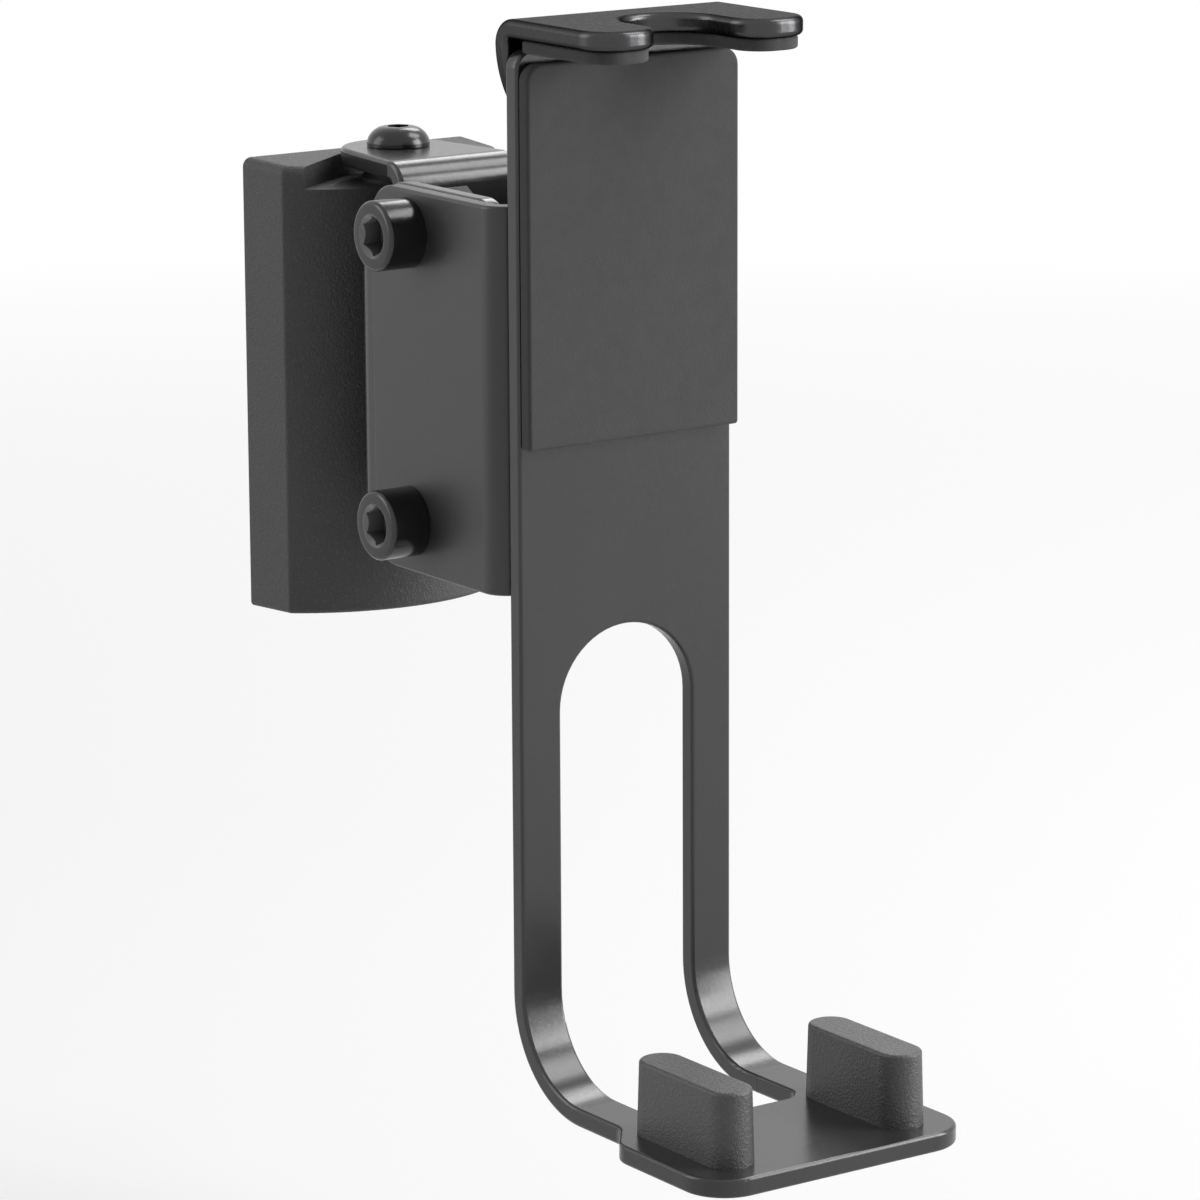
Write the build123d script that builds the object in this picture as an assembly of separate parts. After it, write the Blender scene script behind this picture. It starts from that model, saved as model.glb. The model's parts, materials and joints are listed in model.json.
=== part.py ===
from build123d import *
import math
import os

# Speaker wall bracket: a wall base, a swivel bracket, a tilting channel, and a plate with a shelf and a hook.
# Frame: origin at the middle of the base's back face, +X right seen from the front, +Y into the wall, +Z up.
# A depth is a distance in front of the wall, so it is minus Y. A half is half of a width across X. All in mm.

# Sheet steel
SHEET = 2.7
BEND_INNER = 1.0
EDGE_ROUND = 0.5
HOOK_ROUND = 0.8
SHARP_TURN = 45.0

# Clearances: between flat faces of moving pieces, round a running shaft, round a loose screw, round a tight one
FACE_GAP = 0.15
RUNNING_GAP = 0.06
LOOSE_GAP = 0.3
TIGHT_GAP = 0.02

# Wall base, a moulded block with drafted sides and a bowed front
BASE_HALF = 19.77
BASE_HEIGHT = 67.5
BASE_SIDE_DEPTH = 9.5
BASE_DEPTH = 17.5
BASE_SIDE_DRAFT = 4.9
BASE_END_DRAFT = 2.0
BASE_CORNER_ROUND = 0.8
BASE_TOP_ROUND = 1.4
BASE_BOTTOM_ROUND = 0.7
CORE_INNER_HALF = 9.5
CORE_WALL = 3.4
CORE_DEPTH = 6.0

# Wall screw holes
WALL_HOLE_R = 2.4
WALL_HEAD_R = 4.5
WALL_SEAT_DEPTH = 5.0
WALL_HOLE_SPACING = 22.0
WALL_HOLES_Z = 3.0

# Swivel axis, its recess in the base's top and its slot lower down
SWIVEL_DEPTH = 11.6
SWIVEL_MAX = 30.0
RECESS_DROP = 3.65
RECESS_R = 9.3
RECESS_ANGLE = 56.0
BOSS_R = 5.4
BOSS_HEIGHT = 0.65
LOWER_SLOT_GAP = 0.4
LOWER_SLOT_SPARE = 2.0

# Swivel bracket: ears, web and side flanges
EAR_TIP_R = 8.5
EAR_ROOT_HALF = 10.3
LOWER_EAR_Z = -22.35
LOWER_EAR_HALF = 5.5
EAR_RISE = 6.2
LOWER_EAR_DROP = 5.85
WEB_REACH = 16.6
FLANGE_TIP_GAP = 2.58
FLANGE_TOP_MARGIN = 6.16
FLANGE_LOW_MARGIN = 6.92
FLANGE_SLOPE_LENGTH = 7.8
FLANGE_FOOT_SETBACK = 9.5
FLANGE_KNEE_RISE = 25.28
FLANGE_CORNER_R = 4.0

# Tilt channel: its wings reach past the screws by these margins
WING_STEP = 1.62
WING_TAIL = 9.57
WING_REACH = 22.51
WING_TOP_MARGIN = 6.12
WING_LOW_MARGIN = 7.38
CHANNEL_BEND_INNER = 1.3
CHANNEL_CORNER_R = 5.0

# Tilt axis on the lower cap screws, and the curved slots that the upper ones run in
TILT_REACH = 16.07
TILT_Z = -13.28
TILT_RADIUS = 41.42
TILT_MAX = 15.0
TILT_SPARE = 0.6

# Socket cap screws and their nuts
CAP_D = 6.0
CAP_HEAD_D = 10.0
CAP_HEAD_HEIGHT = 6.0
CAP_HEAD_ROUND = 0.6
CAP_HEX = 5.0
CAP_HEX_DEPTH = 3.2
NUT_HEX = 10.0
NUT_HEIGHT = 4.8
NUT_CHAMFER = 0.4

# Button head screws of the swivel and their inserts and washer
SWIVEL_D = 5.0
SWIVEL_HEAD_D = 9.3
SWIVEL_HEAD_HEIGHT = 2.75
SWIVEL_HEX = 3.0
SWIVEL_HEX_DEPTH = 1.9
SWIVEL_SCREW_REACH = 10.0
INSERT_R = 3.4
INSERT_LENGTH = 6.0
LOWER_HEAD_DEPTH = 4.0
WASHER_R = 5.2
WASHER_THICK = 1.6

# Main plate with its shelf and its slot
PLATE_HALF = 18.15
PLATE_TOP_Z = 56.0
PLATE_CORNER_R = 2.5
SHELF_TOP_Z = -91.1
SHELF_BEND_INNER = 13.4
SHELF_STEP = 4.29
SHELF_LENGTH = 51.39
SHELF_CORNER_R = 6.5
NECK_SETBACK = 27.57
SHOULDER_SETBACK = 22.07
NECK_R = 4.0
LEG_WIDTH = 6.82
SLOT_TOP_Z = -26.3
SLOT_END_SETBACK = 24.97

# Back pad
PAD_SIDE_MARGIN = 0.25
PAD_TOP_MARGIN = 1.73
PAD_HEIGHT = 53.5
PAD_THICK = 2.31
PAD_CORNER_R = 2.5

# Hook plate with its fingers, its round tab and its pad
HOOK_TOP_GAP = 1.48
HOOK_REACH = 20.02
FINGER_FLAT = 1.24
NOTCH_HALF = 7.0
NOTCH_REACH = 4.02
TAB_DROP = 3.18
HOOK_PAD_THICK = 1.8
HOOK_PAD_INSET = 0.7

# Hook screws with their washers, and the slots in the tab that let the hook rise
HOOK_RISE = 6.0
HOOK_SCREW_X = 6.0
HOOK_SCREW_DROP = 5.0
HOOK_D = 4.0
HOOK_HEAD_D = 7.6
HOOK_HEAD_HEIGHT = 2.2
HOOK_HEX = 2.5
HOOK_HEX_DEPTH = 1.3
HOOK_WASHER_R = 4.4
HOOK_WASHER_THICK = 0.8

# Prongs and their countersunk screws
PRONG_SIDE_MARGIN = 7.84
PRONG_SETBACK = 14.97
PRONG_LENGTH = 22.4
PRONG_WIDTH = 7.1
PRONG_HEIGHT = 10.62
PRONG_DRAFT = 1.6
PRONG_ROUND = 0.5
PRONG_D = 3.0
PRONG_HEAD_D = 5.8
PRONG_SCREW_LENGTH = 9.0
PRONG_SCREW_SPACING = 10.0
PRONG_HEX = 2.0
PRONG_HEX_DEPTH = 1.0

# Shape of a button head: its rim's share of the height, and its flat top's share of the width
HEAD_RIM_SHARE = 0.18
HEAD_FLAT_SHARE = 0.4

# Worked out from the sizes above: bends and the wall base
BEND_OUTER = BEND_INNER + SHEET
BASE_TOP_Z = BASE_HEIGHT / 2
RECESS_FLOOR_Z = BASE_TOP_Z - RECESS_DROP
BOSS_Z = RECESS_FLOOR_Z + BOSS_HEIGHT

# Worked out: ears and web
EAR_UNDER_Z = BOSS_Z + WASHER_THICK + FACE_GAP
EAR_TOP_Z = EAR_UNDER_Z + SHEET
WEB_TOP_Z = EAR_TOP_Z - EAR_RISE
WEB_LOW_Z = LOWER_EAR_Z + LOWER_EAR_DROP
WEB_FRONT_DEPTH = SWIVEL_DEPTH + WEB_REACH
WEB_REAR_DEPTH = WEB_FRONT_DEPTH - SHEET
LOWER_EAR_TOP_Z = LOWER_EAR_Z + SHEET
LOWER_SLOT_LOW_Z = LOWER_EAR_Z - LOWER_SLOT_GAP
LOWER_SLOT_TOP_Z = LOWER_EAR_TOP_Z + LOWER_SLOT_GAP
LOWER_SEAT_Z = LOWER_HEAD_DEPTH - BASE_TOP_Z

# Worked out: tilt channel and the flanges inside it
TILT_DEPTH = WEB_FRONT_DEPTH + TILT_REACH
TILT_SCREW_Z = TILT_Z + TILT_RADIUS
CHANNEL_HALF = PLATE_HALF + WING_STEP
CHANNEL_REAR_DEPTH = TILT_DEPTH - WING_TAIL
CHANNEL_FRONT_DEPTH = TILT_DEPTH + WING_REACH
CHANNEL_TOP_Z = TILT_SCREW_Z + WING_TOP_MARGIN
CHANNEL_LOW_Z = TILT_Z - WING_LOW_MARGIN
FLANGE_OUTER = CHANNEL_HALF - SHEET - FACE_GAP
FLANGE_INNER = FLANGE_OUTER - SHEET
FLANGE_END_DEPTH = CHANNEL_FRONT_DEPTH - SHEET - FLANGE_TIP_GAP
FLANGE_FOOT_DEPTH = FLANGE_END_DEPTH - FLANGE_FOOT_SETBACK
FLANGE_TOP_Z = TILT_SCREW_Z + FLANGE_TOP_MARGIN
FLANGE_LOW_Z = TILT_Z - FLANGE_LOW_MARGIN
FLANGE_KNEE_Z = TILT_Z + FLANGE_KNEE_RISE

# Worked out: main plate and shelf
PLATE_FRONT_DEPTH = CHANNEL_FRONT_DEPTH + SHEET
SHELF_LOW_Z = SHELF_TOP_Z - SHEET
SHELF_HALF = PLATE_HALF + SHELF_STEP
SHELF_FRONT_DEPTH = PLATE_FRONT_DEPTH + SHELF_LENGTH
NECK_DEPTH = SHELF_FRONT_DEPTH - NECK_SETBACK
SHOULDER_DEPTH = SHELF_FRONT_DEPTH - SHOULDER_SETBACK
SLOT_HALF = PLATE_HALF - LEG_WIDTH
SLOT_END_DEPTH = SHELF_FRONT_DEPTH - SLOT_END_SETBACK
PRONG_X = SHELF_HALF - PRONG_SIDE_MARGIN
PRONG_DEPTH = SHELF_FRONT_DEPTH - PRONG_SETBACK

# Worked out: pads and hook
PAD_HALF = PLATE_HALF - PAD_SIDE_MARGIN
PAD_TOP_Z = PLATE_TOP_Z - PAD_TOP_MARGIN
PAD_LOW_Z = PAD_TOP_Z - PAD_HEIGHT
HOOK_HALF = PLATE_HALF
HOOK_UNDER_Z = PLATE_TOP_Z + HOOK_TOP_GAP
HOOK_TOP_Z = HOOK_UNDER_Z + SHEET
HOOK_FRONT_DEPTH = PLATE_FRONT_DEPTH + HOOK_REACH
HOOK_PAD_REAR_DEPTH = PLATE_FRONT_DEPTH + LOOSE_GAP
FINGER_R = (HOOK_HALF - NOTCH_HALF - FINGER_FLAT) / 2
NOTCH_DEPTH = PLATE_FRONT_DEPTH + NOTCH_REACH
TAB_CENTRE_Z = HOOK_TOP_Z - TAB_DROP
TAB_FRONT_DEPTH = CHANNEL_FRONT_DEPTH - FACE_GAP
TAB_REAR_DEPTH = TAB_FRONT_DEPTH - SHEET
HOOK_SCREW_Z = PLATE_TOP_Z - HOOK_SCREW_DROP
SIDES = (-1, 1)
SPAN = 4 * SHELF_FRONT_DEPTH


def at(x, depth, z=0):
    """A point, from how far it stands in front of the wall."""
    return Vector(x, -depth, z)


def outline(points, radii):
    """A closed face from corner points, with a radius for each corner."""
    return Face(FilletPolyline(*points, radius=radii, close=True))


def sheet_section(outer, inner, outer_radius):
    """A section of bent sheet, from the corner points of its outer and inner lines."""
    outer_line = FilletPolyline(*outer, radius=outer_radius)
    inner_line = FilletPolyline(*inner, radius=outer_radius - SHEET)
    ends = [Line(outer[0], inner[0]), Line(outer[-1], inner[-1])]
    return Face(Wire.combine([outer_line, inner_line, *ends])[0])


def rounded(body, radius):
    """A sheet with the edges of its outline softened, but not its bends or the rims of its holes."""
    soft = []
    for edge in body.edges().filter_by(lambda edge: not edge.is_closed):
        middle = edge.position_at(1 / 2)
        sides = [face for face in body.faces() if any(edge.is_same(other) for other in face.edges())]
        turn = sides[0].normal_at(middle).get_angle(sides[-1].normal_at(middle))
        if turn > SHARP_TURN and abs(edge.length - SHEET) > TIGHT_GAP:
            soft.append(edge)
    return fillet(soft, radius)


def across(face, half):
    """A face of the middle plane, spread to both sides."""
    return extrude(face, amount=half, dir=(1, 0, 0), both=True)


def raised(face, low_z, high_z):
    """A face drawn from above at height zero, made to stand between two heights."""
    return Pos(0, 0, low_z) * extrude(face, amount=high_z - low_z, dir=(0, 0, 1))


def block(x_range, depth_range, z_range):
    """A box between pairs of limits."""
    centre = [sum(limits) / 2 for limits in (x_range, depth_range, z_range)]
    size = [limits[1] - limits[0] for limits in (x_range, depth_range, z_range)]
    return Pos(at(*centre)) * Box(*size)


def upright_rod(depth, z_range, radius, x=0):
    """A cylinder along Z."""
    return Pos(at(x, depth, sum(z_range) / 2)) * Cylinder(radius, z_range[1] - z_range[0])


def fore_rod(x, z, depth_range, radius):
    """A cylinder along Y."""
    turned = Rot(90, 0, 0) * Cylinder(radius, depth_range[1] - depth_range[0])
    return Pos(at(x, sum(depth_range) / 2, z)) * turned


def cross_rod(depth, z, radius):
    """A cylinder along X, right through."""
    return Pos(at(0, depth, z)) * Rot(0, 90, 0) * Cylinder(radius, SPAN)


def hex_prism(across_flats, height):
    """A hexagon standing on the origin."""
    return extrude(RegularPolygon(across_flats / 2, 6, major_radius=False), amount=height)


def swing_space(radius, angle, z_range):
    """Room for an ear to swing: round about the swivel axis, and opening forwards by an angle each side."""
    turn = math.radians(angle)
    near_x = radius * math.cos(turn)
    near_depth = SWIVEL_DEPTH - radius * math.sin(turn)
    far_x = near_x + SPAN * math.sin(turn)
    far_depth = near_depth + SPAN * math.cos(turn)
    points = [at(-near_x, near_depth), at(-far_x, far_depth), at(far_x, far_depth), at(near_x, near_depth)]
    wedge = raised(outline([*points, at(0, SWIVEL_DEPTH)], 0), *z_range)
    return wedge + upright_rod(SWIVEL_DEPTH, z_range, radius)


# Wall base
def base_block():
    """The block before it is cut: a bowed front, drafted sides and ends, and rounded edges."""
    front_half = BASE_HALF - BASE_SIDE_DEPTH * math.tan(math.radians(BASE_SIDE_DRAFT))
    sides = [Line(at(x * BASE_HALF, 0), at(x * front_half, BASE_SIDE_DEPTH)) for x in SIDES]
    back = Line(at(-BASE_HALF, 0), at(BASE_HALF, 0))
    corners = [at(x * front_half, BASE_SIDE_DEPTH) for x in SIDES]
    bow = ThreePointArc(corners[0], at(0, BASE_DEPTH), corners[1])
    body = raised(Face(Wire.combine([*sides, back, bow])[0]), -BASE_TOP_Z, BASE_TOP_Z)
    slope = BASE_DEPTH * math.tan(math.radians(BASE_END_DRAFT))
    ends = [at(0, 0, -BASE_TOP_Z), at(0, BASE_DEPTH, slope - BASE_TOP_Z)]
    ends += [at(0, BASE_DEPTH, BASE_TOP_Z - slope), at(0, 0, BASE_TOP_Z)]
    body = body & across(outline(ends, 0), BASE_HALF)
    body = fillet(body.edges().filter_by(Axis.Z).sort_by(Axis.Y)[:2], BASE_CORNER_ROUND)
    body = fillet(rim_edges(body, 1), BASE_TOP_ROUND)
    return fillet(rim_edges(body, -1), BASE_BOTTOM_ROUND)


def rim_edges(body, end):
    """The edges round the base's top or bottom, without the one against the wall."""
    rim = body.faces().sort_by(Axis.Z)[-1 if end > 0 else 0].edges()
    return rim.filter_by(lambda edge: edge.center().Y < -TIGHT_GAP)


def wall_base():
    body = base_block()
    body -= swing_space(RECESS_R, RECESS_ANGLE, (RECESS_FLOOR_Z, SPAN))
    body += upright_rod(SWIVEL_DEPTH, (RECESS_FLOOR_Z, BOSS_Z), BOSS_R)
    slot_angle = SWIVEL_MAX + LOWER_SLOT_SPARE
    body -= swing_space(LOWER_EAR_HALF + LOOSE_GAP, slot_angle, (LOWER_SLOT_LOW_Z, LOWER_SLOT_TOP_Z))
    for side in SIDES:
        limits = sorted((side * CORE_INNER_HALF, side * (BASE_HALF - CORE_WALL)))
        body -= block(limits, (0, CORE_DEPTH), (CORE_WALL - BASE_TOP_Z, RECESS_FLOOR_Z - CORE_WALL))
    for z in wall_hole_heights():
        body -= fore_rod(0, z, (0, BASE_DEPTH), WALL_HOLE_R)
        body -= fore_rod(0, z, (WALL_SEAT_DEPTH, 2 * BASE_DEPTH), WALL_HEAD_R)
    for z_range in insert_heights():
        body -= upright_rod(SWIVEL_DEPTH, z_range, INSERT_R + TIGHT_GAP)
    loose_r = SWIVEL_D / 2 + LOOSE_GAP
    body -= upright_rod(SWIVEL_DEPTH, (EAR_TOP_Z - swivel_length() - LOOSE_GAP, EAR_TOP_Z), loose_r)
    body -= upright_rod(SWIVEL_DEPTH, (LOWER_SEAT_Z, LOWER_SLOT_LOW_Z), loose_r)
    return body - upright_rod(SWIVEL_DEPTH, (-BASE_TOP_Z, LOWER_SEAT_Z), SWIVEL_HEAD_D / 2 + LOOSE_GAP)


def wall_hole_heights():
    return [WALL_HOLES_Z + side * WALL_HOLE_SPACING / 2 for side in SIDES]


# Swivel fastenings: an insert and a screw at each ear, and a washer under the top one
def insert_heights():
    upper = (BOSS_Z - INSERT_LENGTH, BOSS_Z)
    lower = (LOWER_SLOT_TOP_Z, LOWER_SLOT_TOP_Z + INSERT_LENGTH)
    return [lower, upper]


def swivel_inserts():
    inserts = []
    for z_range in insert_heights():
        tube = upright_rod(SWIVEL_DEPTH, z_range, INSERT_R)
        inserts.append(tube - upright_rod(SWIVEL_DEPTH, z_range, SWIVEL_D / 2 + TIGHT_GAP))
    return inserts


def swivel_length():
    """The upper screw's length, from the ear's top down into its insert."""
    return EAR_TOP_Z - BOSS_Z + SWIVEL_SCREW_REACH


def swivel_screws():
    head = (SWIVEL_HEAD_D, SWIVEL_HEAD_HEIGHT, SWIVEL_HEX, SWIVEL_HEX_DEPTH)
    upper = button_screw(SWIVEL_D, swivel_length() + FACE_GAP, *head)
    lower = button_screw(SWIVEL_D, LOWER_SLOT_TOP_Z + INSERT_LENGTH - LOWER_SEAT_Z, *head)
    upper_seat = Pos(at(0, SWIVEL_DEPTH, EAR_TOP_Z + FACE_GAP))
    lower_seat = Pos(at(0, SWIVEL_DEPTH, LOWER_SEAT_Z)) * Rot(180, 0, 0)
    return [upper_seat * upper, lower_seat * lower]


def swivel_washer():
    z_range = (BOSS_Z, BOSS_Z + WASHER_THICK)
    disc = upright_rod(SWIVEL_DEPTH, z_range, WASHER_R)
    return [disc - upright_rod(SWIVEL_DEPTH, z_range, SWIVEL_D / 2 + LOOSE_GAP)]


def button_screw(shank_d, length, head_d, head_height, hex_size, hex_depth):
    """A button head screw with its seat on the origin and its shank along minus Z."""
    rim = Vector(head_d / 2, 0, head_height * HEAD_RIM_SHARE)
    top = Vector(head_d / 2 * HEAD_FLAT_SHARE, 0, head_height)
    dome = TangentArc(top, rim, tangent=(1, 0, 0))
    corners = [rim, Vector(head_d / 2, 0, 0), Vector(0, 0, 0), Vector(0, 0, head_height), top]
    section = Face(Wire.combine([dome, Polyline(*corners)])[0])
    screw = revolve(section, Axis.Z) + Pos(0, 0, -length / 2) * Cylinder(shank_d / 2, length)
    return screw - Pos(0, 0, head_height - hex_depth) * hex_prism(hex_size, head_height)


# Swivel bracket: a U of sheet, trimmed seen from the side, with an ear bent back from each end of its web
def swivel_bracket():
    outer = [(-FLANGE_OUTER, FLANGE_END_DEPTH), (-FLANGE_OUTER, WEB_REAR_DEPTH)]
    outer += [(FLANGE_OUTER, WEB_REAR_DEPTH), (FLANGE_OUTER, FLANGE_END_DEPTH)]
    inner = [(-FLANGE_INNER, FLANGE_END_DEPTH), (-FLANGE_INNER, WEB_FRONT_DEPTH)]
    inner += [(FLANGE_INNER, WEB_FRONT_DEPTH), (FLANGE_INNER, FLANGE_END_DEPTH)]
    section = sheet_section([at(*point) for point in outer], [at(*point) for point in inner], BEND_OUTER)
    body = raised(section, FLANGE_LOW_Z, FLANGE_TOP_Z) & across(flange_outline(), SPAN)
    body += ear(EAR_TIP_R, EAR_ROOT_HALF, EAR_TOP_Z, WEB_TOP_Z, 1)
    body += ear(LOWER_EAR_HALF, LOWER_EAR_HALF, LOWER_EAR_Z, WEB_LOW_Z, -1)
    body -= cross_rod(TILT_DEPTH, TILT_Z, CAP_D / 2 + TIGHT_GAP)
    return body - tilt_slot()


def flange_outline():
    """The flanges seen from the side, with the web's ends stepped back to free the bends."""
    slope_start = WEB_FRONT_DEPTH + BEND_INNER
    slope_end = slope_start + FLANGE_SLOPE_LENGTH
    points = [(0, WEB_LOW_Z), (slope_start, WEB_LOW_Z), (slope_end, FLANGE_LOW_Z)]
    points += [(FLANGE_FOOT_DEPTH, FLANGE_LOW_Z), (FLANGE_END_DEPTH, FLANGE_KNEE_Z)]
    points += [(FLANGE_END_DEPTH, FLANGE_TOP_Z), (slope_end, FLANGE_TOP_Z)]
    points += [(slope_start, WEB_TOP_Z), (0, WEB_TOP_Z)]
    rounds = [0, 0, 0, FLANGE_CORNER_R, FLANGE_CORNER_R, FLANGE_CORNER_R, FLANGE_CORNER_R, 0, 0]
    return outline([at(0, depth, z) for depth, z in points], rounds)


def ear(tip_r, root_half, outer_z, web_z, up):
    """An ear bent back from the web, narrowing to a round end about the swivel axis."""
    inner_z = outer_z - up * SHEET
    outer = [(0, outer_z), (WEB_FRONT_DEPTH, outer_z), (WEB_FRONT_DEPTH, web_z)]
    inner = [(0, inner_z), (WEB_REAR_DEPTH, inner_z), (WEB_REAR_DEPTH, web_z)]
    points = [[at(0, depth, z) for depth, z in line] for line in (outer, inner)]
    strip = across(sheet_section(*points, BEND_OUTER), root_half)
    reach = WEB_FRONT_DEPTH - BEND_OUTER - SWIVEL_DEPTH
    lean = math.acos(tip_r / math.hypot(root_half, reach)) - math.atan2(reach, root_half)
    tip_x = tip_r * math.cos(lean)
    tip_depth = SWIVEL_DEPTH - tip_r * math.sin(lean)
    root_depth = SWIVEL_DEPTH + reach
    half = [(tip_x, tip_depth), (root_half, root_depth), (root_half, WEB_FRONT_DEPTH)]
    points = [at(x, depth) for x, depth in half] + [at(-x, depth) for x, depth in reversed(half)]
    keep = raised(outline(points, 0), -SPAN, SPAN) + upright_rod(SWIVEL_DEPTH, (-SPAN, SPAN), tip_r)
    hole = upright_rod(SWIVEL_DEPTH, (-SPAN, SPAN), SWIVEL_D / 2 + RUNNING_GAP)
    return (strip & keep) - hole


def tilt_slot():
    """The curved slots about the tilt axis, through both flanges."""
    radius = CAP_D / 2 + LOOSE_GAP
    start = math.radians(-TILT_SPARE)
    end = math.radians(TILT_MAX + TILT_SPARE)
    angles = (start, (start + end) / 2, end)
    edges = [ThreePointArc(*[tilt_spot(TILT_RADIUS + side * radius, angle) for angle in angles]) for side in SIDES]
    ends = [Line(edges[0].position_at(share), edges[1].position_at(share)) for share in (0, 1)]
    slot = across(Face(Wire.combine([*edges, *ends])[0]), SPAN)
    spots = [tilt_spot(TILT_RADIUS, angle) for angle in angles]
    for spot in (spots[0], spots[-1]):
        slot += cross_rod(-spot.Y, spot.Z, radius)
    return slot


def tilt_spot(radius, angle):
    """A point about the tilt axis, at an angle forwards from straight up."""
    return at(0, TILT_DEPTH + radius * math.sin(angle), TILT_Z + radius * math.cos(angle))


# Tilt channel: a U of sheet with its web against the main plate
def tilt_channel():
    wing_inner = CHANNEL_HALF - SHEET
    web_rear = CHANNEL_FRONT_DEPTH - SHEET
    outer = [(-CHANNEL_HALF, CHANNEL_REAR_DEPTH), (-CHANNEL_HALF, CHANNEL_FRONT_DEPTH)]
    outer += [(CHANNEL_HALF, CHANNEL_FRONT_DEPTH), (CHANNEL_HALF, CHANNEL_REAR_DEPTH)]
    inner = [(-wing_inner, CHANNEL_REAR_DEPTH), (-wing_inner, web_rear)]
    inner += [(wing_inner, web_rear), (wing_inner, CHANNEL_REAR_DEPTH)]
    bend = CHANNEL_BEND_INNER + SHEET
    section = sheet_section([at(*point) for point in outer], [at(*point) for point in inner], bend)
    body = raised(section, CHANNEL_LOW_Z, CHANNEL_TOP_Z)
    side = [(CHANNEL_REAR_DEPTH, CHANNEL_LOW_Z), (CHANNEL_FRONT_DEPTH, CHANNEL_LOW_Z)]
    side += [(CHANNEL_FRONT_DEPTH, CHANNEL_TOP_Z), (CHANNEL_REAR_DEPTH, CHANNEL_TOP_Z)]
    rounds = [CHANNEL_CORNER_R, 0, 0, CHANNEL_CORNER_R]
    body = body & across(outline([at(0, depth, z) for depth, z in side], rounds), SPAN)
    for z in (TILT_Z, TILT_SCREW_Z):
        body -= cross_rod(TILT_DEPTH, z, CAP_D / 2 + RUNNING_GAP)
    return rounded(body, EDGE_ROUND)


# Cap screws and nuts: the lower pair stays with the swivel bracket, the upper pair rides with the channel
def cap_screw(length):
    """A socket cap screw with its seat on the origin and its shank along minus Z."""
    head = Pos(0, 0, CAP_HEAD_HEIGHT / 2) * Cylinder(CAP_HEAD_D / 2, CAP_HEAD_HEIGHT)
    head = fillet(head.edges().sort_by(Axis.Z)[-1], CAP_HEAD_ROUND)
    screw = head + Pos(0, 0, -length / 2) * Cylinder(CAP_D / 2, length)
    return screw - Pos(0, 0, CAP_HEAD_HEIGHT - CAP_HEX_DEPTH) * hex_prism(CAP_HEX, CAP_HEAD_HEIGHT)


def hex_nut():
    """A nut standing on the origin, with a plain bore."""
    body = hex_prism(NUT_HEX, NUT_HEIGHT)
    body = chamfer(body.faces().sort_by(Axis.Z)[-1].edges(), NUT_CHAMFER)
    return body - Cylinder(CAP_D / 2 + TIGHT_GAP, 2 * NUT_HEIGHT)


def cap_screws(z, head_gap, nut_gap):
    """A pair of screws through the wings, with a gap under each head and one under each nut."""
    length = CHANNEL_HALF + head_gap - FLANGE_INNER + nut_gap + NUT_HEIGHT
    place = at(0, TILT_DEPTH, z)
    screw = cap_screw(length)
    return [Pos(place + Vector(side * (CHANNEL_HALF + head_gap), 0, 0)) * Rot(0, side * 90, 0) * screw
            for side in SIDES]


def cap_nuts(z, nut_gap):
    place = at(0, TILT_DEPTH, z)
    nut = hex_nut()
    return [Pos(place + Vector(side * (FLANGE_INNER - nut_gap), 0, 0)) * Rot(0, -side * 90, 0) * nut
            for side in SIDES]


# Main plate: a strip bent forwards into a wider shelf, with one slot that runs down through the bend
def main_plate():
    outer = [(CHANNEL_FRONT_DEPTH, PLATE_TOP_Z), (CHANNEL_FRONT_DEPTH, SHELF_LOW_Z)]
    outer += [(SHELF_FRONT_DEPTH, SHELF_LOW_Z)]
    inner = [(PLATE_FRONT_DEPTH, PLATE_TOP_Z), (PLATE_FRONT_DEPTH, SHELF_TOP_Z)]
    inner += [(SHELF_FRONT_DEPTH, SHELF_TOP_Z)]
    points = [[at(0, depth, z) for depth, z in line] for line in (outer, inner)]
    body = across(sheet_section(*points, SHELF_BEND_INNER + SHEET), SHELF_HALF)
    body = body & raised(shelf_outline(), SHELF_LOW_Z, PLATE_TOP_Z)
    body = fillet(body.edges().filter_by(Axis.Y).sort_by(Axis.Z)[-2:], PLATE_CORNER_R)
    body = rounded(body - plate_slot(), EDGE_ROUND)
    for side in SIDES:
        depths = (CHANNEL_FRONT_DEPTH, PLATE_FRONT_DEPTH)
        body -= fore_rod(side * HOOK_SCREW_X, HOOK_SCREW_Z, depths, HOOK_D / 2 + TIGHT_GAP)
    for x, depth in prong_screw_places():
        body -= Pos(at(x, depth, SHELF_LOW_Z)) * countersunk(TIGHT_GAP)
    return body


def shelf_outline():
    """The plate and its shelf seen from above."""
    half = [(PLATE_HALF, 0), (PLATE_HALF, NECK_DEPTH), (SHELF_HALF, SHOULDER_DEPTH)]
    half += [(SHELF_HALF, SHELF_FRONT_DEPTH)]
    points = [at(x, depth) for x, depth in half] + [at(-x, depth) for x, depth in reversed(half)]
    rounds = [0, NECK_R, NECK_R, SHELF_CORNER_R]
    return outline(points, rounds + rounds[::-1])


def plate_slot():
    """The slot, round at its top in the plate and at its end in the shelf."""
    top_centre = SLOT_TOP_Z - SLOT_HALF
    end_centre = SLOT_END_DEPTH - SLOT_HALF
    bend_z = SHELF_TOP_Z + SHELF_BEND_INNER
    through = (0, PLATE_FRONT_DEPTH + SHEET)
    sides = (-SLOT_HALF, SLOT_HALF)
    upper = block(sides, through, (bend_z, top_centre)) + fore_rod(0, top_centre, through, SLOT_HALF)
    heights = (SHELF_LOW_Z - SHEET, bend_z)
    return upper + block(sides, (0, end_centre), heights) + upright_rod(end_centre, heights, SLOT_HALF)


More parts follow.
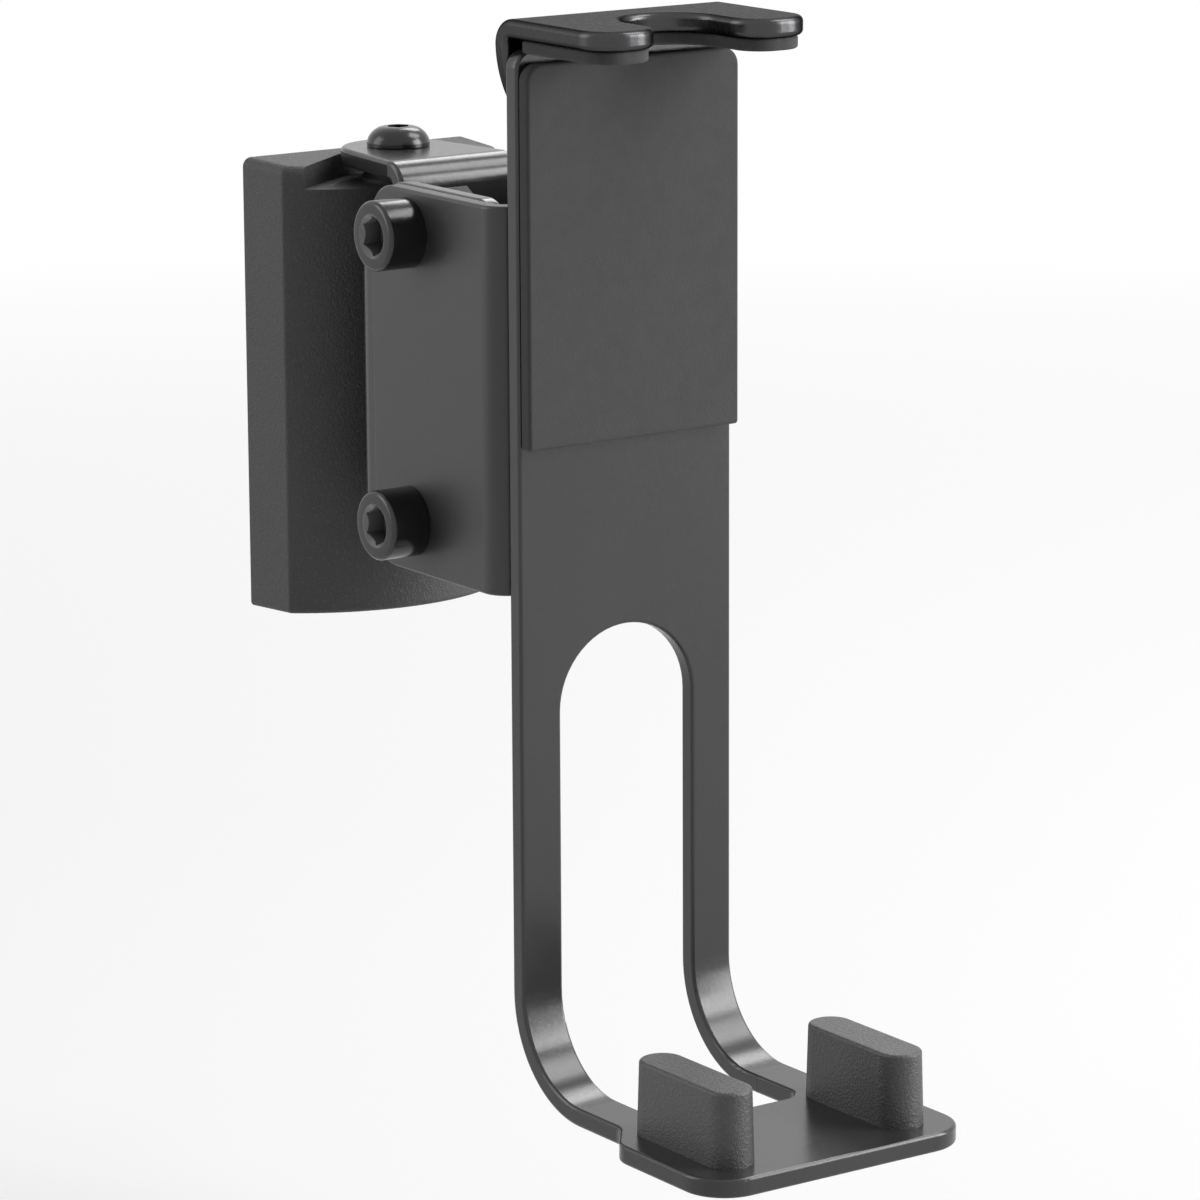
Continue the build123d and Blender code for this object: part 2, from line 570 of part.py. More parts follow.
# Pads
def back_pad():
    corners = [(-PAD_HALF, PAD_LOW_Z), (PAD_HALF, PAD_LOW_Z), (PAD_HALF, PAD_TOP_Z), (-PAD_HALF, PAD_TOP_Z)]
    rounds = [0, 0, PAD_CORNER_R, PAD_CORNER_R]
    face = outline([at(x, PLATE_FRONT_DEPTH, z) for x, z in corners], rounds)
    return extrude(face, amount=PAD_THICK, dir=(0, -1, 0))


def hook_pad():
    face = hook_outline(HOOK_PAD_INSET, HOOK_PAD_REAR_DEPTH)
    return raised(face, HOOK_UNDER_Z - HOOK_PAD_THICK, HOOK_UNDER_Z)


# Hook plate: a sheet bent over the top, with a slotted round tab behind the main plate and two fingers in front
def hook_outline(inset, rear_depth):
    """The hook seen from above, drawn in from its edges by an inset."""
    half = HOOK_HALF - inset
    notch = NOTCH_HALF + inset
    front = HOOK_FRONT_DEPTH - inset
    notch_centre = NOTCH_DEPTH + NOTCH_HALF
    points = [(-half, rear_depth), (half, rear_depth), (half, front), (-half, front)]
    face = Sketch() + outline([at(x, depth) for x, depth in points], 0)
    gap = [(-notch, notch_centre), (notch, notch_centre), (notch, SPAN), (-notch, SPAN)]
    face -= outline([at(x, depth) for x, depth in gap], 0)
    face -= Pos(at(0, notch_centre)) * Circle(notch)
    return fillet(face.vertices().group_by(Axis.Y)[0], FINGER_R - inset)


def hook_plate():
    tab_low = TAB_CENTRE_Z - HOOK_HALF
    outer = [(HOOK_FRONT_DEPTH, HOOK_TOP_Z), (TAB_REAR_DEPTH, HOOK_TOP_Z), (TAB_REAR_DEPTH, tab_low)]
    inner = [(HOOK_FRONT_DEPTH, HOOK_UNDER_Z), (TAB_FRONT_DEPTH, HOOK_UNDER_Z), (TAB_FRONT_DEPTH, tab_low)]
    points = [[at(0, depth, z) for depth, z in line] for line in (outer, inner)]
    body = across(sheet_section(*points, BEND_OUTER), HOOK_HALF)
    body = body & raised(hook_outline(0, 0), tab_low, HOOK_TOP_Z)
    depths = (0, HOOK_FRONT_DEPTH)
    tab = fore_rod(0, TAB_CENTRE_Z, depths, HOOK_HALF)
    tab += block((-HOOK_HALF, HOOK_HALF), depths, (TAB_CENTRE_Z, HOOK_TOP_Z))
    body = rounded(body & tab, HOOK_ROUND)
    slot_half = HOOK_D / 2 + LOOSE_GAP
    for side in SIDES:
        x = side * HOOK_SCREW_X
        heights = (HOOK_SCREW_Z - HOOK_RISE, HOOK_SCREW_Z)
        body -= block((x - slot_half, x + slot_half), (0, TAB_FRONT_DEPTH), heights)
        for z in heights:
            body -= fore_rod(x, z, (0, TAB_FRONT_DEPTH), slot_half)
    return body


def hook_screws():
    length = PLATE_FRONT_DEPTH - TAB_REAR_DEPTH + FACE_GAP + HOOK_WASHER_THICK
    screw = button_screw(HOOK_D, length, HOOK_HEAD_D, HOOK_HEAD_HEIGHT, HOOK_HEX, HOOK_HEX_DEPTH)
    seat = PLATE_FRONT_DEPTH - length
    return [Pos(at(side * HOOK_SCREW_X, seat, HOOK_SCREW_Z)) * Rot(-90, 0, 0) * screw for side in SIDES]


def hook_washers():
    front = TAB_REAR_DEPTH - FACE_GAP
    depths = (front - HOOK_WASHER_THICK, front)
    washers = []
    for side in SIDES:
        disc = fore_rod(side * HOOK_SCREW_X, HOOK_SCREW_Z, depths, HOOK_WASHER_R)
        washers.append(disc - fore_rod(side * HOOK_SCREW_X, HOOK_SCREW_Z, depths, HOOK_D / 2 + TIGHT_GAP))
    return washers


# Prongs: tapered rubber blocks with round ends, each held from below by two countersunk screws
def prong(side):
    foot = Rot(0, 0, 90) * SlotOverall(PRONG_LENGTH, PRONG_WIDTH)
    body = extrude(foot, amount=PRONG_HEIGHT, taper=PRONG_DRAFT)
    body = fillet(body.faces().sort_by(Axis.Z)[-1].edges(), PRONG_ROUND)
    body = Pos(at(side * PRONG_X, PRONG_DEPTH, SHELF_TOP_Z)) * body
    for x, depth in prong_screw_places():
        heights = (SHELF_TOP_Z, SHELF_LOW_Z + PRONG_SCREW_LENGTH + LOOSE_GAP)
        body -= upright_rod(depth, heights, PRONG_D / 2 + TIGHT_GAP, x)
    return body


def prong_screw_places():
    """Where the prong screws stand, as x and depth."""
    return [(side * PRONG_X, PRONG_DEPTH + along * PRONG_SCREW_SPACING / 2) for side in SIDES for along in SIDES]


def countersunk(gap):
    """A countersunk screw's form, head down on the origin, grown by a gap."""
    head_r = PRONG_HEAD_D / 2 + gap
    shank_r = PRONG_D / 2 + gap
    slope = head_r - shank_r
    head = Pos(0, 0, slope / 2) * Cone(head_r, shank_r, slope)
    return head + Pos(0, 0, PRONG_SCREW_LENGTH / 2) * Cylinder(shank_r, PRONG_SCREW_LENGTH)


def prong_screws():
    screw = countersunk(0) - hex_prism(PRONG_HEX, PRONG_HEX_DEPTH)
    return [Pos(at(x, depth, SHELF_LOW_Z)) * screw for x, depth in prong_screw_places()]


def pieces():
    """Every node by name, as one solid or as a group of like solids."""
    return {
        "wall_base": wall_base(),
        "swivel_inserts": swivel_inserts(),
        "swivel_screws": swivel_screws(),
        "swivel_washer": swivel_washer(),
        "swivel_bracket": swivel_bracket(),
        "tilt_channel": tilt_channel(),
        "pivot_screws": cap_screws(TILT_Z, FACE_GAP, 0),
        "pivot_nuts": cap_nuts(TILT_Z, 0),
        "tilt_screws": cap_screws(TILT_SCREW_Z, 0, FACE_GAP),
        "tilt_nuts": cap_nuts(TILT_SCREW_Z, FACE_GAP),
        "main_plate": main_plate(),
        "back_pad": back_pad(),
        "hook_plate": hook_plate(),
        "hook_pad": hook_pad(),
        "hook_screws": hook_screws(),
        "hook_washers": hook_washers(),
        "prong_left": prong(-1),
        "prong_right": prong(1),
        "prong_screws": prong_screws(),
    }


os.makedirs("parts", exist_ok=True)
for name, made in pieces().items():
    shape = Compound(made) if isinstance(made, list) else made
    export_step(shape, f"parts/{name}.step")
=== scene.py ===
import json
import math

import bmesh
import bpy
from mathutils import Matrix, Vector


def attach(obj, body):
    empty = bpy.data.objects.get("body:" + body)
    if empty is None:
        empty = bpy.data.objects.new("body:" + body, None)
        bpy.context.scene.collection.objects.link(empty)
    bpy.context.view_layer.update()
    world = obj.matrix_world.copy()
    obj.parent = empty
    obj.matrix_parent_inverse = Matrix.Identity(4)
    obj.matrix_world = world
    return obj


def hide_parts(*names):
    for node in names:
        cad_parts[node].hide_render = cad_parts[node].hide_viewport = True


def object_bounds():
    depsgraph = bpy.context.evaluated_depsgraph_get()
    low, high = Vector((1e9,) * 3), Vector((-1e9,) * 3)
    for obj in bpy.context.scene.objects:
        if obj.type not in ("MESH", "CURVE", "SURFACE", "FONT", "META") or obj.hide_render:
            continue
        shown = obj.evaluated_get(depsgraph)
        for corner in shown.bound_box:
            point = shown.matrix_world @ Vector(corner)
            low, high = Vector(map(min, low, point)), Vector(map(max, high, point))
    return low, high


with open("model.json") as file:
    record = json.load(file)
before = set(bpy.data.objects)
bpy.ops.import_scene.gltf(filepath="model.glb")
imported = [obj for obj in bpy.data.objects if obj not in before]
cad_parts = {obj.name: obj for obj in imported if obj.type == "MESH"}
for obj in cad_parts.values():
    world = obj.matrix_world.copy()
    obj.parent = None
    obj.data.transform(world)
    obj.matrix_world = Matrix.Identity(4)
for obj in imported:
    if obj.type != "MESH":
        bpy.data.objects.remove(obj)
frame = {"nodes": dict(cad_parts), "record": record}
cad_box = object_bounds()
nodes = frame["nodes"]
scene = bpy.context.scene
scene.view_settings.view_transform = "Standard"
for packed in list(bpy.data.materials):
    bpy.data.materials.remove(packed)

WHITE = (1, 1, 1, 1)
QUARTER = math.pi / 2

# Materials: most of a noise lies between NOISE_LOW and NOISE_HIGH, and pale flecks come in
# between FLECK_START and FLECK_END
NOISE_LOW = 0.3
NOISE_HIGH = 0.7
FLECK_START = 0.54
FLECK_END = 0.74
COAT_BLUE = 1.03


class Nodes:
    """A new material with helpers that add and join its nodes."""

    def __init__(self, name):
        self.material = bpy.data.materials.new(name)
        self.material.use_nodes = True
        self.tree = self.material.node_tree
        self.shader = self.tree.nodes["Principled BSDF"]
        self.coords = self.add("ShaderNodeTexCoord").outputs["Object"]

    def add(self, kind, **sockets):
        node = self.tree.nodes.new(kind)
        for name, value in sockets.items():
            node.inputs[name.replace("_", " ")].default_value = value
        return node

    def join(self, source, target):
        self.tree.links.new(source, target)

    def noise(self, scale, detail=2.0, roughness=0.5):
        node = self.add("ShaderNodeTexNoise", Scale=scale, Detail=detail, Roughness=roughness)
        self.join(self.coords, node.inputs["Vector"])
        return node.outputs["Fac"]

    def cells(self, scale):
        node = self.add("ShaderNodeTexVoronoi", Scale=scale)
        self.join(self.coords, node.inputs["Vector"])
        return node.outputs["Distance"]

    def spread(self, source, low, high, start=NOISE_LOW, end=NOISE_HIGH):
        """The source's values from start to end, laid over low to high."""
        node = self.add("ShaderNodeMapRange", From_Min=start, From_Max=end, To_Min=low, To_Max=high)
        self.join(source, node.inputs["Value"])
        return node.outputs["Result"]

    def blend(self, source, dark, light):
        node = self.add("ShaderNodeValToRGB")
        first, last = node.color_ramp.elements
        first.position, last.position = NOISE_LOW, NOISE_HIGH
        first.color, last.color = (*dark, 1), (*light, 1)
        self.join(source, node.inputs["Fac"])
        return node.outputs["Color"]

    def fleck(self, plain, source, light, start, end):
        """The plain colour with a lighter one where the source runs high."""
        node = self.add("ShaderNodeMix")
        node.data_type = "RGBA"
        self.join(self.spread(source, 0, 1, start, end), node.inputs["Factor"])
        colours = [socket for socket in node.inputs if socket.type == "RGBA"]
        self.join(plain, colours[0])
        colours[1].default_value = (*light, 1)
        return [socket for socket in node.outputs if socket.type == "RGBA"][0]

    def bump(self, source, strength, depth, below=None):
        node = self.add("ShaderNodeBump", Strength=strength, Distance=depth)
        self.join(source, node.inputs["Height"])
        if below is not None:
            self.join(below, node.inputs["Normal"])
        return node.outputs["Normal"]

    def surface(self, colour, roughness, normal, **plain):
        self.join(colour, self.shader.inputs["Base Color"])
        self.join(roughness, self.shader.inputs["Roughness"])
        self.join(normal, self.shader.inputs["Normal"])
        for name, value in plain.items():
            self.shader.inputs[name.replace("_", " ")].default_value = value
        return self.material


def moulded(name, tone_scale, dark, light, pale, rough, relief, gloss):
    """Moulded plastic or rubber, with a grain and pale flecks."""
    made = Nodes(name)
    tone = made.noise(scale=tone_scale, detail=4)
    grain = made.noise(scale=2600, detail=3, roughness=0.6)
    plain = made.blend(tone, dark, light)
    colour = made.fleck(plain, grain, pale, FLECK_START, FLECK_END)
    normal = made.bump(grain, strength=relief, depth=0.0002)
    return made.surface(colour, made.spread(grain, *rough), normal, Specular_IOR_Level=gloss)


def coated_steel(name, dark, light, rough, **shine):
    made = Nodes(name)
    tone = made.noise(scale=40, detail=3)
    grain = made.noise(scale=1500, detail=2)
    ripple = made.noise(scale=260, detail=1)
    colour = made.blend(tone, (dark, dark, dark * COAT_BLUE), (light, light, light * COAT_BLUE))
    waves = made.bump(ripple, strength=0.03, depth=0.0004)
    normal = made.bump(grain, strength=0.10, depth=0.0001, below=waves)
    return made.surface(colour, made.spread(grain, *rough), normal, **shine)


def black_screw():
    """Black steel that goes pale where a mesh's attribute marks wear and a painted highlight."""
    made = Nodes("black_screw")
    tone = made.noise(scale=300, detail=3)
    grain = made.noise(scale=2200, detail=2)
    wear_and_highlight = made.add("ShaderNodeAttribute")
    wear_and_highlight.attribute_name = "wear_and_highlight"
    plain = made.blend(tone, (0.006, 0.006, 0.0065), (0.010, 0.010, 0.0105))
    # Pale grey: partly wear, partly a painted highlight on the head's rim and in the socket
    colour = made.fleck(plain, wear_and_highlight.outputs["Fac"], (0.20, 0.20, 0.204), start=0, end=1)
    normal = made.bump(grain, strength=0.10, depth=0.00008)
    return made.surface(colour, made.spread(grain, 0.18, 0.25), normal, Specular_IOR_Level=0.45)


def bare_metal(name, dark, light, rough):
    made = Nodes(name)
    tone = made.noise(scale=350, detail=3)
    grain = made.noise(scale=1800, detail=2)
    normal = made.bump(grain, strength=0.10, depth=0.00008)
    colour = made.blend(tone, dark, light)
    return made.surface(colour, made.spread(grain, *rough), normal, Metallic=1.0)


def washer_plastic():
    made = Nodes("washer_plastic")
    tone = made.noise(scale=300, detail=3)
    grain = made.noise(scale=1800, detail=2)
    colour = made.blend(tone, (0.020, 0.020, 0.020), (0.028, 0.028, 0.028))
    normal = made.bump(grain, strength=0.20, depth=0.0001)
    return made.surface(colour, made.spread(grain, 0.45, 0.55), normal)


def pad_foam():
    made = Nodes("pad_foam")
    tone = made.noise(scale=400, detail=3)
    grain = made.noise(scale=3000, detail=3, roughness=0.6)
    colour = made.blend(tone, (0.058, 0.058, 0.059), (0.063, 0.063, 0.064))
    nap = made.bump(grain, strength=0.25, depth=0.0001)
    normal = made.bump(made.cells(scale=2400), strength=0.20, depth=0.0001, below=nap)
    return made.surface(colour, made.spread(grain, 0.82, 0.95), normal, Specular_IOR_Level=0.25)


finishes = {made.name: made for made in (
    moulded(
        "base_plastic", tone_scale=60, dark=(0.042, 0.042, 0.043), light=(0.050, 0.050, 0.051),
        pale=(0.085, 0.085, 0.086), rough=(0.44, 0.60), relief=0.75, gloss=0.4),
    coated_steel("coated_steel", 0.026, 0.031, rough=(0.20, 0.25), Specular_IOR_Level=0.5),
    black_screw(),
    bare_metal("zinc_steel", (0.50, 0.51, 0.53), (0.60, 0.61, 0.63), rough=(0.30, 0.40)),
    bare_metal("insert_brass", (0.60, 0.42, 0.17), (0.70, 0.50, 0.22), rough=(0.28, 0.38)),
    washer_plastic(),
    pad_foam(),
    moulded(
        "prong_rubber", tone_scale=90, dark=(0.034, 0.034, 0.035), light=(0.041, 0.041, 0.042),
        pale=(0.075, 0.075, 0.076), rough=(0.40, 0.54), relief=0.70, gloss=0.65),
)}
for part in frame["record"]["subparts"]:
    shown = nodes[part["node"]]
    shown.data.materials.clear()
    shown.data.materials.append(finishes[part["material_slot"]])
# Copies of the one powder coat for two sheets, tuned to the light on them: the hook's is a darker
# metallic copy that paints the shade on its top, the channel's a rougher, slightly lighter copy
nodes["tilt_channel"].data.materials[0] = coated_steel(
    "channel_coat_lit_copy", 0.028, 0.033, rough=(0.34, 0.40), Specular_IOR_Level=0.5)
nodes["hook_plate"].data.materials[0] = coated_steel(
    "hook_coat_shaded_copy", 0.058, 0.066, rough=(0.25, 0.31),
    Metallic=1.0, Specular_Tint=(0.3, 0.3, 0.3, 1))

# Helpers for pieces and edges
WELD_REACH = 1e-6


def new_piece(name, mesh, slot_name):
    mesh.materials.clear()
    mesh.materials.append(finishes[slot_name])
    piece = bpy.data.objects.new(name, mesh)
    scene.collection.objects.link(piece)
    return piece


def stand_in(piece, node, body):
    """Make a piece stand for a CAD node."""
    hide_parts(node)
    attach(piece, body)


def weld(item):
    """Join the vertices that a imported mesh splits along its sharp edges."""
    item.modifiers.new("weld", "WELD").merge_threshold = WELD_REACH


def round_edges(item, width, segments, flat_angle, sharp_angle, clamped=True):
    """Round the edges over sharp_angle, once faces within flat_angle are one; both in degrees."""
    weld(item)
    flat = item.modifiers.new("flat", "DECIMATE")
    flat.decimate_type = "DISSOLVE"
    flat.angle_limit = math.radians(flat_angle)
    rim = item.modifiers.new("rim", "BEVEL")
    rim.width = width
    rim.segments = segments
    rim.limit_method = "ANGLE"
    rim.angle_limit = math.radians(sharp_angle)
    rim.use_clamp_overlap = clamped


def even_shading(item):
    item.modifiers.new("shade", "WEIGHTED_NORMAL").keep_sharp = True


def span_rings(form, rings):
    """Walls between rings of vertices, with a cap at each end."""
    for lower, upper in zip(rings, rings[1:]):
        for place in range(len(lower)):
            after = (place + 1) % len(lower)
            form.faces.new((lower[place], lower[after], upper[after], upper[place]))
    form.faces.new(rings[0])
    form.faces.new(rings[-1])


def mesh_of(form, name):
    """The form as a mesh with its faces outward."""
    bmesh.ops.recalc_face_normals(form, faces=form.faces)
    mesh = bpy.data.meshes.new(name)
    form.to_mesh(mesh)
    form.free()
    return mesh


# Pads: soft pieces in the form of their CAD solids, with round rims
PADS = (("back_foam", "back_pad", "tilt", 0.0005), ("hook_foam", "hook_pad", "hook", 0.0004))
for name, node, body, width in PADS:
    pad = new_piece(name, nodes[node].data.copy(), "pad_foam")
    round_edges(pad, width, segments=4, flat_angle=1, sharp_angle=50)
    stand_in(pad, node, body)

# Rounds on sharp edges that the CAD leaves
EASED = (("swivel_bracket", 0.0006, 4, False), ("wall_base", 0.00025, 2, True))
for node, width, segments, clamped in EASED:
    round_edges(nodes[node], width, segments, flat_angle=0.5, sharp_angle=40, clamped=clamped)
    even_shading(nodes[node])

# Plate: the slot's end in the shelf has tight corners, where the CAD's end is a full round
SHEET = 0.0027
SHELF_TOP = -0.0911
SLOT_HALF = 0.01133
SLOT_REAR = 0.0850
SLOT_FRONT = 0.09592
SLOT_CORNER = 0.003
EDGE_ROUND = 0.0005
RIM_STEPS = 5
RIM_TURN = math.radians(84)
CORNER_STEPS = 10


def slot_ring(z, grow):
    """The outline of the slot's end at one height, grown outward."""
    reach = SLOT_CORNER + grow
    centre_x = SLOT_HALF - SLOT_CORNER
    centre_depth = SLOT_FRONT - SLOT_CORNER
    points = [(-SLOT_HALF - grow, -SLOT_REAR, z)]
    for side, start in ((-1, math.pi), (1, QUARTER)):
        for step in range(CORNER_STEPS + 1):
            angle = start - QUARTER * step / CORNER_STEPS
            depth = centre_depth + reach * math.sin(angle)
            points.append((side * centre_x + reach * math.cos(angle), -depth, z))
    points.append((SLOT_HALF + grow, -SLOT_REAR, z))
    return points


def slot_cutter():
    """A block for the slot's end that flares at the sheet's faces, which leaves round edges."""
    flare = []
    for step in range(RIM_STEPS + 1):
        turn = RIM_TURN * step / RIM_STEPS
        flare.append((EDGE_ROUND * (1 - math.sin(turn)), EDGE_ROUND * (1 - math.cos(turn))))
    low = SHELF_TOP - SHEET
    wide = flare[-1][1]
    rings = [slot_ring(low - SHEET, wide)]
    rings += [slot_ring(low + rise, grow) for rise, grow in reversed(flare)]
    rings += [slot_ring(SHELF_TOP - drop, grow) for drop, grow in flare]
    rings += [slot_ring(SHELF_TOP + SHEET, wide)]
    form = bmesh.new()
    span_rings(form, [[form.verts.new(point) for point in ring] for ring in rings])
    return mesh_of(form, "slot_cutter")


def cut_plate():
    whole = bpy.data.objects.new("whole_plate", nodes["main_plate"].data.copy())
    cutter = bpy.data.objects.new("slot_cutter", slot_cutter())
    for item in (whole, cutter):
        scene.collection.objects.link(item)
    weld(whole)
    cut = whole.modifiers.new("cut", "BOOLEAN")
    cut.operation = "DIFFERENCE"
    cut.solver = "EXACT"
    cut.object = cutter
    even_shading(whole)
    evaluated = whole.evaluated_get(bpy.context.evaluated_depsgraph_get())
    result = bpy.data.meshes.new_from_object(evaluated)
    for item in (whole, cutter):
        bpy.data.objects.remove(item)
    return result


plate = new_piece("slotted_plate", cut_plate(), "coated_steel")
stand_in(plate, "main_plate", "tilt")

# Cap screws: a chamfered socket with a drilled bottom, pale at its mouth, in the socket and along
# the head's rounded rim: partly wear, partly a painted highlight
FACE_GAP = 0.00015
NUT_HEIGHT = 0.0048
CAP_LENGTH = 2 * SHEET + 2 * FACE_GAP + NUT_HEIGHT
CAP_SHANK_R = 0.003
CAP_END_CHAMFER = 0.0005
CAP_HEAD_R = 0.005
CAP_HEAD = 0.006
CAP_ROUND = 0.0006
CAP_ROUND_STEPS = 6
CAP_MOUTH_R = 0.0031
CAP_HEX_HALF = 0.0025
CAP_HEX_DEPTH = 0.0032
CAP_DRILL = 0.0008
CAP_DRILL_TIP_R = 0.0003
CAP_TURNS = 72
CAP_SHARP = math.radians(30)
# Pale marks: wear with a painted highlight along the head's rounded rim, at the socket's mouth and
# in the socket
RIM_WEAR_AND_HIGHLIGHT = 0.15
SOCKET_WEAR_AND_HIGHLIGHT = 0.5
WEAR_AND_HIGHLIGHT_FADE = 0.0001
WING_OUTER = 0.01977
CAP_DEPTH = 0.04427
PIVOT_Z = -0.01328
TILT_Z = 0.02814
CAPS = (
    ("pivot_caps", PIVOT_Z, FACE_GAP, "pivot_screws", "swivel"),
    ("tilt_caps", TILT_Z, 0, "tilt_screws", "tilt"),
)


def hex_radius(angle):
    sixth = math.pi / 3
    return CAP_HEX_HALF / math.cos((angle + sixth / 2) % sixth - sixth / 2)


def hex_mouth(angle):
    """The distance out at which the mouth's 45 degree chamfer meets the hexagon."""
    return CAP_HEAD - CAP_MOUTH_R + hex_radius(angle)


def cap_profile():
    """Rings from the shank's end to the socket's bottom: distance out, radius, and a pale mark that
    is partly wear and partly a painted highlight.
    """
    def even(value):
        return lambda angle: value

    rings = [
        (even(-CAP_LENGTH), even(CAP_SHANK_R - CAP_END_CHAMFER), 0),
        (even(CAP_END_CHAMFER - CAP_LENGTH), even(CAP_SHANK_R), 0),
        (even(0), even(CAP_SHANK_R), 0),
        (even(0), even(CAP_HEAD_R), 0),
    ]
    # The rounded rim is palest half way round: a painted rim highlight, partly wear
    for step in range(CAP_ROUND_STEPS + 1):
        turn = QUARTER * step / CAP_ROUND_STEPS
        out = CAP_HEAD - CAP_ROUND * (1 - math.sin(turn))
        radius = CAP_HEAD_R - CAP_ROUND * (1 - math.cos(turn))
        rings.append((even(out), even(radius), RIM_WEAR_AND_HIGHLIGHT * math.sin(2 * turn)))
    bottom = CAP_HEAD - CAP_HEX_DEPTH
    rings += [
        (even(CAP_HEAD), even(CAP_MOUTH_R + WEAR_AND_HIGHLIGHT_FADE), 0),
        (even(CAP_HEAD), even(CAP_MOUTH_R), 1),
        (hex_mouth, hex_radius, 1),
        (even(bottom), hex_radius, SOCKET_WEAR_AND_HIGHLIGHT),
        (even(bottom - CAP_DRILL), even(CAP_DRILL_TIP_R), SOCKET_WEAR_AND_HIGHLIGHT),
    ]
    return rings


def cap_pair(name, z, gap):
    """A cap screw on each side, with its head a gap away from the wing."""
    form = bmesh.new()
    wear_and_highlight_layer = form.verts.layers.float.new("wear_and_highlight")
    angles = [2 * math.pi * step / CAP_TURNS for step in range(CAP_TURNS)]
    for side in (-1, 1):
        rings = []
        for out, radius, wear_and_highlight in cap_profile():
            ring = []
            for angle in angles:
                x = side * (WING_OUTER + gap + out(angle))
                y = radius(angle) * math.cos(angle) - CAP_DEPTH
                point = form.verts.new((x, y, z + radius(angle) * math.sin(angle)))
                point[wear_and_highlight_layer] = wear_and_highlight
                ring.append(point)
            rings.append(ring)
        span_rings(form, rings)
    mesh = mesh_of(form, name)
    mesh.shade_smooth()
    mesh.set_sharp_from_angle(angle=CAP_SHARP)
    return mesh


for name, z, gap, node, body in CAPS:
    caps = new_piece(name, cap_pair(name, z, gap), "black_screw")
    stand_in(caps, node, body)

# Stage: each lamp's name, place, size and power. The floor's glow goes from the first of
# FLOOR_GLOW to the second, between the two distances of FLOOR_FADE
LAMPS = (
    ("key", (0.65, -0.65, 0.25), (0.42, 0.67), 9.2),
    ("over", (0.55, -0.25, 0.75), (0.45, 0.45), 4.2),
    ("crown", (0.50, 0.40, 0.55), (0.30, 0.30), 1.6),
    ("rim", (-0.75, 0.45, 0.35), (0.5, 0.8), 3.2),
)
AIM = Vector((0, -0.06, -0.02))
SKY = 0.08
FLOOR_DROP = 0.03
FLOOR_HALF = 6.0
FLOOR_GLOW = (0.6, 1.0)
FLOOR_FADE = (0.25, 0.9)


def lamp(name, place, size, power):
    light = bpy.data.lights.new(name, "AREA")
    light.shape = "RECTANGLE"
    light.size, light.size_y = size
    light.energy = power
    item = bpy.data.objects.new(name, light)
    item.location = place
    item.rotation_euler = (AIM - Vector(place)).to_track_quat("-Z", "Y").to_euler()
    item.visible_camera = False
    scene.collection.objects.link(item)


def seen_rays(tree):
    """One for rays that show the background: from the camera, off a gloss, through a clear body."""
    path = tree.nodes.new("ShaderNodeLightPath")
    most = path.outputs["Is Camera Ray"]
    for kind in ("Is Glossy Ray", "Is Transmission Ray"):
        larger = tree.nodes.new("ShaderNodeMath")
        larger.operation = "MAXIMUM"
        tree.links.new(most, larger.inputs[0])
        tree.links.new(path.outputs[kind], larger.inputs[1])
        most = larger.outputs["Value"]
    return most


def mix_shaders(tree, share, first, second, output):
    mix = tree.nodes.new("ShaderNodeMixShader")
    tree.links.new(share, mix.inputs["Fac"])
    tree.links.new(first, mix.inputs[1])
    tree.links.new(second, mix.inputs[2])
    tree.links.new(mix.outputs["Shader"], tree.nodes[output].inputs["Surface"])


def studio():
    """A dim sky that looks white to the rays that show the background."""
    world = bpy.data.worlds.new("studio")
    world.use_nodes = True
    tree = world.node_tree
    sky = tree.nodes["Background"]
    sky.inputs["Color"].default_value = WHITE
    sky.inputs["Strength"].default_value = SKY
    white = tree.nodes.new("ShaderNodeBackground")
    white.inputs["Color"].default_value = WHITE
    white.inputs["Strength"].default_value = 1.0
    mix_shaders(
        tree, seen_rays(tree), sky.outputs["Background"], white.outputs["Background"],
        "World Output")
    return world


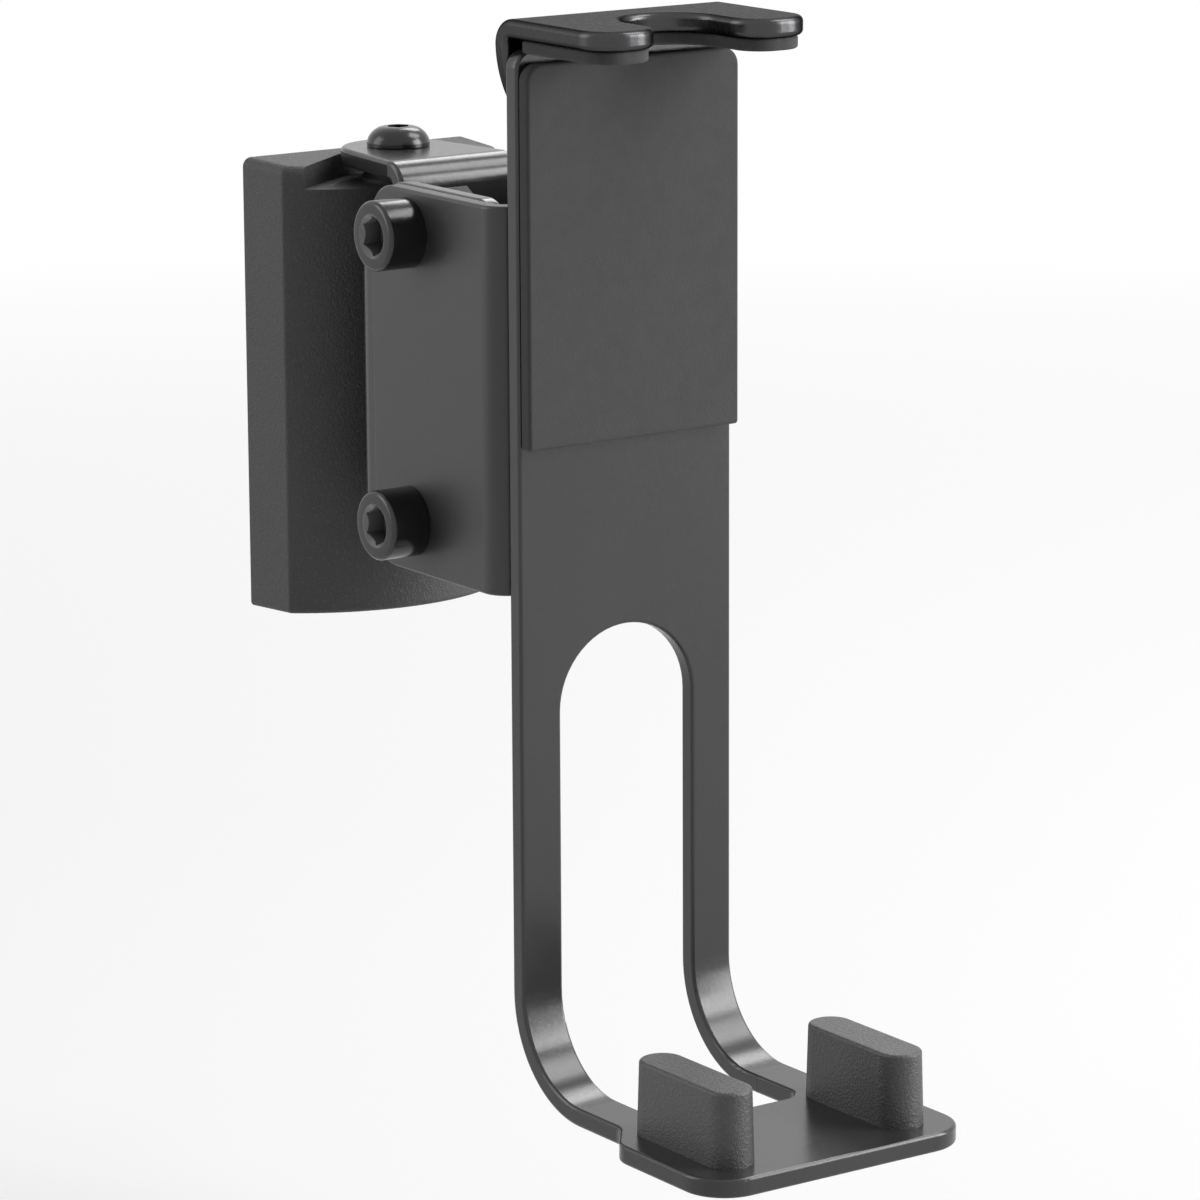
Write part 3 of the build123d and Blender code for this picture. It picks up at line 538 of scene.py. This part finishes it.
def pale_floor():
    """A white floor, partly a glow for the rays that show the background: a soft shadow stays."""
    made = Nodes("pale_floor")
    tone = made.noise(scale=3, detail=2)
    colour = made.blend(tone, (0.86, 0.86, 0.86), (0.88, 0.88, 0.88))
    normal = made.bump(made.noise(scale=400), strength=0.05, depth=0.0001)
    made.surface(colour, made.spread(tone, 0.85, 0.95), normal)
    glow = made.add("ShaderNodeEmission", Color=WHITE)
    reach = made.add("ShaderNodeVectorMath")
    reach.operation = "LENGTH"
    made.join(made.coords, reach.inputs[0])
    share = made.add("ShaderNodeMath")
    share.operation = "MULTIPLY"
    made.join(seen_rays(made.tree), share.inputs[0])
    made.join(made.spread(reach.outputs["Value"], *FLOOR_GLOW, *FLOOR_FADE), share.inputs[1])
    mix_shaders(
        made.tree, share.outputs["Value"], made.shader.outputs["BSDF"], glow.outputs["Emission"],
        "Material Output")
    return made.material


for settings in LAMPS:
    lamp(*settings)
scene.world = studio()
floor_z = cad_box[0][2] - FLOOR_DROP
sheet = bpy.data.meshes.new("floor")
sheet.from_pydata(
    [(x * FLOOR_HALF, y * FLOOR_HALF, floor_z) for x, y in ((-1, -1), (1, -1), (1, 1), (-1, 1))],
    [], [(0, 1, 2, 3)])
sheet.materials.append(pale_floor())
floor = bpy.data.objects.new("floor", sheet)
scene.collection.objects.link(floor)

# Camera, from points measured in the photograph
CAMERA_PLACE = (-0.43145, -0.6804, 0.1454)
AZIMUTH = math.radians(34.94)
ELEVATION = math.radians(12.68)
ROLL = math.radians(0.28)
FOCAL_PIXELS = 5435
FRAME_PIXELS = 1200
SENSOR_WIDTH = 36
CLIP_START = 0.01
ahead = Vector((
    math.sin(AZIMUTH) * math.cos(ELEVATION),
    math.cos(AZIMUTH) * math.cos(ELEVATION),
    -math.sin(ELEVATION)))
level = Vector((math.cos(AZIMUTH), -math.sin(AZIMUTH), 0))
down = ahead.cross(level)
right = math.cos(ROLL) * level + math.sin(ROLL) * down
below = -math.sin(ROLL) * level + math.cos(ROLL) * down
turned = Matrix((right, -below, -ahead)).transposed().to_4x4()
data = bpy.data.cameras.new("camera")
data.sensor_width = SENSOR_WIDTH
data.lens = SENSOR_WIDTH * FOCAL_PIXELS / FRAME_PIXELS
data.clip_start = CLIP_START
camera = bpy.data.objects.new("camera", data)
camera.matrix_world = Matrix.Translation(CAMERA_PLACE) @ turned
scene.collection.objects.link(camera)
scene.camera = camera
